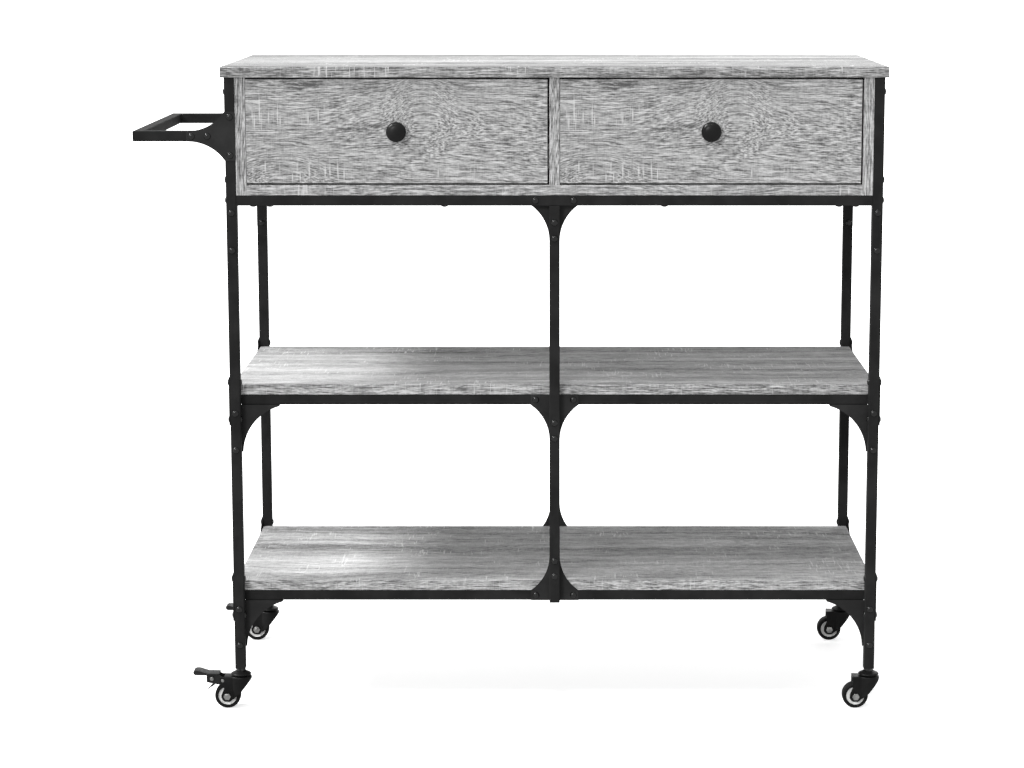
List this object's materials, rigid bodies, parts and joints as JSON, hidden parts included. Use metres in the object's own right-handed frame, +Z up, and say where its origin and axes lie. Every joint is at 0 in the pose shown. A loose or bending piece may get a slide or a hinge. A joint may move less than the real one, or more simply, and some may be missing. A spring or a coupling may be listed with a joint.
{
  "type": "kitchen island cart",
  "caption": "Rolling kitchen island cart: black square-tube frame on swivel casters with a wood-look worktop, knobbed drawers, open shelves and a push handle at the left end.",
  "frame": {"origin": "on the floor, under the middle of the whole cart's box, handle and knobs included", "axes": "+X along the cart, away from the push handle; +Y from the drawer fronts to the back; +Z up"},
  "size_m": [1.0856, 0.4206, 0.9465],
  "materials": {
    "black_metal": "black powder coat, slightly glossy",
    "oak_laminate": "grey-brown oak laminate with saw marks, matt",
    "drawer_board": "plain laminated drawer board, matt",
    "runner_zinc": "zinc-plated sheet",
    "zinc_steel": "bright zinc plate",
    "tyre_rubber": "smooth matt rubber",
    "hub_plastic": "light grey moulded plastic",
    "black_plastic": "black moulded plastic"
  },
  "bodies": {
    "cart": {"front_left_leg": "black_metal", "front_right_leg": "black_metal", "rear_left_leg": "black_metal", "rear_right_leg": "black_metal", "top_front_rail": "black_metal", "top_rear_rail": "black_metal", "top_side_rails": "black_metal", "middle_front_rail": "black_metal", "middle_rear_rail": "black_metal", "middle_side_rails": "black_metal", "bottom_front_rail": "black_metal", "bottom_rear_rail": "black_metal", "bottom_side_rails": "black_metal", "centre_posts": "black_metal", "handle_bar": "black_metal", "tee_gussets": "black_metal", "corner_gussets": "black_metal", "frame_fasteners": "black_metal", "worktop": "oak_laminate", "middle_shelf": "oak_laminate", "bottom_shelf": "oak_laminate", "cabinet_left_side": "oak_laminate", "cabinet_right_side": "oak_laminate", "cabinet_divider": "oak_laminate", "cabinet_floor": "oak_laminate", "cabinet_back": "oak_laminate", "leg_inserts": "black_plastic", "cabinet_runners": "runner_zinc", "caster_stems": "zinc_steel", "bearing_caps": "black_metal"},
    "left_drawer": {"left_drawer_front": "oak_laminate", "left_drawer_sides": "drawer_board", "left_drawer_bottom": "drawer_board", "left_drawer_back": "drawer_board", "left_drawer_runners": "runner_zinc", "left_drawer_knob": "black_metal"},
    "right_drawer": {"right_drawer_front": "oak_laminate", "right_drawer_sides": "drawer_board", "right_drawer_bottom": "drawer_board", "right_drawer_back": "drawer_board", "right_drawer_runners": "runner_zinc", "right_drawer_knob": "black_metal"},
    "front_left_fork": {"front_left_yoke": "black_metal", "front_left_axle": "zinc_steel"},
    "front_left_wheel": {"front_left_tyre": "tyre_rubber", "front_left_hub": "hub_plastic"},
    "front_left_brake": {"front_left_brake_pedal": "black_metal"},
    "front_right_fork": {"front_right_yoke": "black_metal", "front_right_axle": "zinc_steel"},
    "front_right_wheel": {"front_right_tyre": "tyre_rubber", "front_right_hub": "hub_plastic"},
    "rear_left_fork": {"rear_left_yoke": "black_metal", "rear_left_axle": "zinc_steel"},
    "rear_left_wheel": {"rear_left_tyre": "tyre_rubber", "rear_left_hub": "hub_plastic"},
    "rear_left_brake": {"rear_left_brake_pedal": "black_metal"},
    "rear_right_fork": {"rear_right_yoke": "black_metal", "rear_right_axle": "zinc_steel"},
    "rear_right_wheel": {"rear_right_tyre": "tyre_rubber", "rear_right_hub": "hub_plastic"}
  },
  "joints": [
    {"name": "left_drawer_slide", "type": "slide", "parent": "cart", "child": "left_drawer", "axis": [0, -1, 0], "range_m": [0, 0.25]},
    {"name": "right_drawer_slide", "type": "slide", "parent": "cart", "child": "right_drawer", "axis": [0, -1, 0], "range_m": [0, 0.25]},
    {"name": "front_left_swivel", "type": "hinge", "parent": "cart", "child": "front_left_fork", "pos_m": [-0.40325, -0.18075, 0.0485], "axis": [0, 0, 1], "continuous": true},
    {"name": "front_left_wheel_spin", "type": "hinge", "parent": "front_left_fork", "child": "front_left_wheel", "pos_m": [-0.42275, -0.18075, 0.019], "axis": [0, 1, 0], "continuous": true},
    {"name": "front_left_brake_press", "type": "hinge", "parent": "front_left_fork", "child": "front_left_brake", "pos_m": [-0.42925, -0.18075, 0.043], "axis": [0, -1, 0], "range_deg": [0, 12]},
    {"name": "front_right_swivel", "type": "hinge", "parent": "cart", "child": "front_right_fork", "pos_m": [0.52675, -0.18075, 0.0485], "axis": [0, 0, 1], "continuous": true},
    {"name": "front_right_wheel_spin", "type": "hinge", "parent": "front_right_fork", "child": "front_right_wheel", "pos_m": [0.50725, -0.18075, 0.019], "axis": [0, 1, 0], "continuous": true},
    {"name": "rear_left_swivel", "type": "hinge", "parent": "cart", "child": "rear_left_fork", "pos_m": [-0.40325, 0.19425, 0.0485], "axis": [0, 0, 1], "continuous": true},
    {"name": "rear_left_wheel_spin", "type": "hinge", "parent": "rear_left_fork", "child": "rear_left_wheel", "pos_m": [-0.42275, 0.19425, 0.019], "axis": [0, 1, 0], "continuous": true},
    {"name": "rear_left_brake_press", "type": "hinge", "parent": "rear_left_fork", "child": "rear_left_brake", "pos_m": [-0.42925, 0.19425, 0.043], "axis": [0, -1, 0], "range_deg": [0, 12]},
    {"name": "rear_right_swivel", "type": "hinge", "parent": "cart", "child": "rear_right_fork", "pos_m": [0.52675, 0.19425, 0.0485], "axis": [0, 0, 1], "continuous": true},
    {"name": "rear_right_wheel_spin", "type": "hinge", "parent": "rear_right_fork", "child": "rear_right_wheel", "pos_m": [0.50725, 0.19425, 0.019], "axis": [0, 1, 0], "continuous": true}
  ]
}
